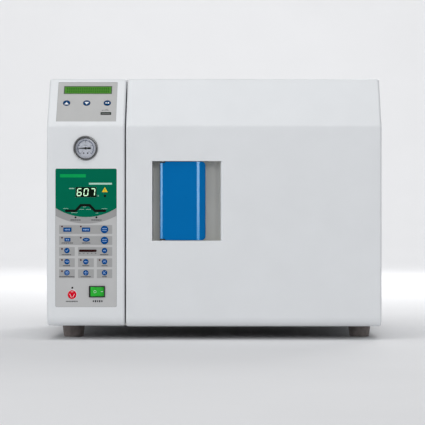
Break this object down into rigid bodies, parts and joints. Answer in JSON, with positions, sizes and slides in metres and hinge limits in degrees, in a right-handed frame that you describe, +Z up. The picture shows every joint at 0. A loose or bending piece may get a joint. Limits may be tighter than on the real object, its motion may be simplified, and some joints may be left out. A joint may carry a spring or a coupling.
{
  "type": "benchtop autoclave",
  "caption": "Benchtop steam autoclave with a control tower on the left, a sloped display head, and a side-hinged door with a recessed lever handle.",
  "frame": {"origin": "middle of the footprint, on the surface that the feet stand on", "axes": "+X to the right as seen from the front, +Y towards the back, +Z up; the door and the controls face -Y"},
  "size_m": [0.67, 0.647, 0.527],
  "materials": {
    "white_moulding": "satin white moulded plastic",
    "white_paint": "satin white powder coat",
    "grey_steel": "light grey coated steel sheet",
    "stainless": "brushed stainless steel",
    "grey_rubber": "dark grey moulded rubber",
    "zinc_screw": "zinc plated",
    "insulation": "glass fibre blanket under foil",
    "silicone": "translucent grey silicone",
    "blue_handle": "satin blue moulded plastic",
    "black_plastic": "matte black moulded plastic",
    "tank_plastic": "natural white polyethylene",
    "brass": "machined brass",
    "chrome_bezel": "bright chrome plate",
    "clear_glass": "clear flat glass",
    "overlay_grey": "printed polyester overlay",
    "circuit_green": "solder-masked circuit board",
    "green_rocker": "translucent green plastic",
    "key_blue": "domed blue key",
    "key_red": "domed red key"
  },
  "bodies": {
    "root": {"base_chassis": "grey_steel", "cabinet_cover": "white_paint", "rear_panel": "grey_steel", "front_frame": "stainless", "control_fascia": "white_moulding", "rubber_feet": "grey_rubber", "cabinet_screws": "zinc_screw", "chamber_vessel": "stainless", "insulation_jacket": "insulation", "band_heaters": "stainless", "tray_rack": "stainless", "hinge_brackets": "stainless", "hinge_pins": "stainless", "lock_actuator": "black_plastic", "water_reservoir": "tank_plastic", "valve_block": "brass", "safety_valve": "brass", "drain_fittings": "brass", "gauge_case": "chrome_bezel", "gauge_glass": "clear_glass", "main_overlay": "overlay_grey", "lcd_overlay": "overlay_grey", "control_board": "circuit_green", "lcd_module": "circuit_green", "rocker_bezel": "black_plastic", "power_inlet": "black_plastic", "fan_frame": "black_plastic"},
    "door": {"door_cover": "white_moulding", "handle_pocket": "white_moulding", "door_liner": "grey_steel", "pressure_door": "stainless", "door_gasket": "silicone"},
    "handle": {"handle_lever": "blue_handle", "handle_shaft": "stainless"},
    "latch": {"latch_slider": "stainless"},
    "lock": {"lock_bolt": "stainless"},
    "cap": {"reservoir_cap": "black_plastic"},
    "needle": {"gauge_needle": "black_plastic"},
    "rocker": {"rocker_button": "green_rocker"},
    "fan": {"fan_rotor": "black_plastic"},
    "tray_low": {"lower_tray": "stainless"},
    "tray_high": {"upper_tray": "stainless"},
    "key_up_body": {"key_up": "key_blue"},
    "key_down_body": {"key_down": "key_blue"},
    "key_set_body": {"key_set": "key_blue"},
    "key_start_body": {"key_start": "key_blue"},
    "key_stop_body": {"key_stop": "key_blue"},
    "key_emergency_body": {"key_emergency": "key_red"},
    "key_cycle_low_body": {"key_cycle_low": "key_blue"},
    "key_cycle_high_body": {"key_cycle_high": "key_blue"},
    "key_container_body": {"key_container": "key_blue"},
    "key_wrapped_body": {"key_wrapped": "key_blue"},
    "key_liquid_body": {"key_liquid": "key_blue"},
    "key_dry_time_body": {"key_dry_time": "key_blue"},
    "key_bottle_body": {"key_bottle": "key_blue"},
    "key_flash_body": {"key_flash": "key_blue"},
    "key_preheat_body": {"key_preheat": "key_blue"},
    "key_fill_body": {"key_fill": "key_blue"},
    "key_exhaust_body": {"key_exhaust": "key_blue"},
    "key_drain_body": {"key_drain": "key_blue"}
  },
  "joints": [
    {"name": "door_swing", "type": "hinge", "parent": "root", "child": "door", "pos_m": [0.327, -0.226, 0.3], "axis": [0, 0, 1], "range_deg": [0, 100]},
    {"name": "handle_pull", "type": "hinge", "parent": "door", "child": "handle", "pos_m": [-0.1026, -0.311, 0.278], "axis": [0, 0, -1], "range_deg": [0, 50], "stiffness_Nm_per_rad": 0.4},
    {"name": "latch_slide", "type": "slide", "parent": "door", "child": "latch", "axis": [1, 0, 0], "range_m": [0, 0.01]},
    {"name": "cap_lift", "type": "slide", "parent": "root", "child": "cap", "axis": [0, 0, 1], "range_m": [0, 0.06]},
    {"name": "rocker_tilt", "type": "hinge", "parent": "root", "child": "rocker", "pos_m": [-0.2345, -0.317, 0.0967], "axis": [0, 0, -1], "range_deg": [0, 20]},
    {"name": "needle_swing", "type": "hinge", "parent": "root", "child": "needle", "pos_m": [-0.2574, -0.317, 0.3836], "axis": [0, 1, 0], "range_deg": [-45, 225], "stiffness_Nm_per_rad": 0.001},
    {"name": "upper_tray_slide", "type": "slide", "parent": "root", "child": "tray_high", "axis": [0, -1, 0], "range_m": [0, 0.03]},
    {"name": "lower_tray_slide", "type": "slide", "parent": "root", "child": "tray_low", "axis": [0, -1, 0], "range_m": [0, 0.03]},
    {"name": "fan_spin", "type": "hinge", "parent": "root", "child": "fan", "pos_m": [-0.245, 0.288, 0.4], "axis": [0, 1, 0], "continuous": true},
    {"name": "lock_bolt_slide", "type": "slide", "parent": "root", "child": "lock", "axis": [1, 0, 0], "range_m": [0, 0.015]},
    {"name": "key_up_press", "type": "slide", "parent": "root", "child": "key_up_body", "axis": [0, 0.7778, -0.6285], "range_m": [0, 0.0004], "stiffness_N_per_m": 1500},
    {"name": "key_down_press", "type": "slide", "parent": "root", "child": "key_down_body", "axis": [0, 0.7778, -0.6285], "range_m": [0, 0.0004], "stiffness_N_per_m": 1500},
    {"name": "key_set_press", "type": "slide", "parent": "root", "child": "key_set_body", "axis": [0, 0.7778, -0.6285], "range_m": [0, 0.0004], "stiffness_N_per_m": 1500},
    {"name": "key_start_press", "type": "slide", "parent": "root", "child": "key_start_body", "axis": [0, 1, 0], "range_m": [0, 0.0004], "stiffness_N_per_m": 1500},
    {"name": "key_stop_press", "type": "slide", "parent": "root", "child": "key_stop_body", "axis": [0, 1, 0], "range_m": [0, 0.0004], "stiffness_N_per_m": 1500},
    {"name": "key_emergency_press", "type": "slide", "parent": "root", "child": "key_emergency_body", "axis": [0, 1, 0], "range_m": [0, 0.0004], "stiffness_N_per_m": 1500},
    {"name": "key_cycle_low_press", "type": "slide", "parent": "root", "child": "key_cycle_low_body", "axis": [0, 1, 0], "range_m": [0, 0.0004], "stiffness_N_per_m": 1500},
    {"name": "key_cycle_high_press", "type": "slide", "parent": "root", "child": "key_cycle_high_body", "axis": [0, 1, 0], "range_m": [0, 0.0004], "stiffness_N_per_m": 1500},
    {"name": "key_container_press", "type": "slide", "parent": "root", "child": "key_container_body", "axis": [0, 1, 0], "range_m": [0, 0.0004], "stiffness_N_per_m": 1500},
    {"name": "key_wrapped_press", "type": "slide", "parent": "root", "child": "key_wrapped_body", "axis": [0, 1, 0], "range_m": [0, 0.0004], "stiffness_N_per_m": 1500},
    {"name": "key_liquid_press", "type": "slide", "parent": "root", "child": "key_liquid_body", "axis": [0, 1, 0], "range_m": [0, 0.0004], "stiffness_N_per_m": 1500},
    {"name": "key_dry_time_press", "type": "slide", "parent": "root", "child": "key_dry_time_body", "axis": [0, 1, 0], "range_m": [0, 0.0004], "stiffness_N_per_m": 1500},
    {"name": "key_bottle_press", "type": "slide", "parent": "root", "child": "key_bottle_body", "axis": [0, 1, 0], "range_m": [0, 0.0004], "stiffness_N_per_m": 1500},
    {"name": "key_flash_press", "type": "slide", "parent": "root", "child": "key_flash_body", "axis": [0, 1, 0], "range_m": [0, 0.0004], "stiffness_N_per_m": 1500},
    {"name": "key_preheat_press", "type": "slide", "parent": "root", "child": "key_preheat_body", "axis": [0, 1, 0], "range_m": [0, 0.0004], "stiffness_N_per_m": 1500},
    {"name": "key_fill_press", "type": "slide", "parent": "root", "child": "key_fill_body", "axis": [0, 1, 0], "range_m": [0, 0.0004], "stiffness_N_per_m": 1500},
    {"name": "key_exhaust_press", "type": "slide", "parent": "root", "child": "key_exhaust_body", "axis": [0, 1, 0], "range_m": [0, 0.0004], "stiffness_N_per_m": 1500},
    {"name": "key_drain_press", "type": "slide", "parent": "root", "child": "key_drain_body", "axis": [0, 1, 0], "range_m": [0, 0.0004], "stiffness_N_per_m": 1500}
  ],
  "couplings": [
    {"joint": "latch_slide", "follows": "handle_pull", "m_per_rad": 0.01145}
  ]
}
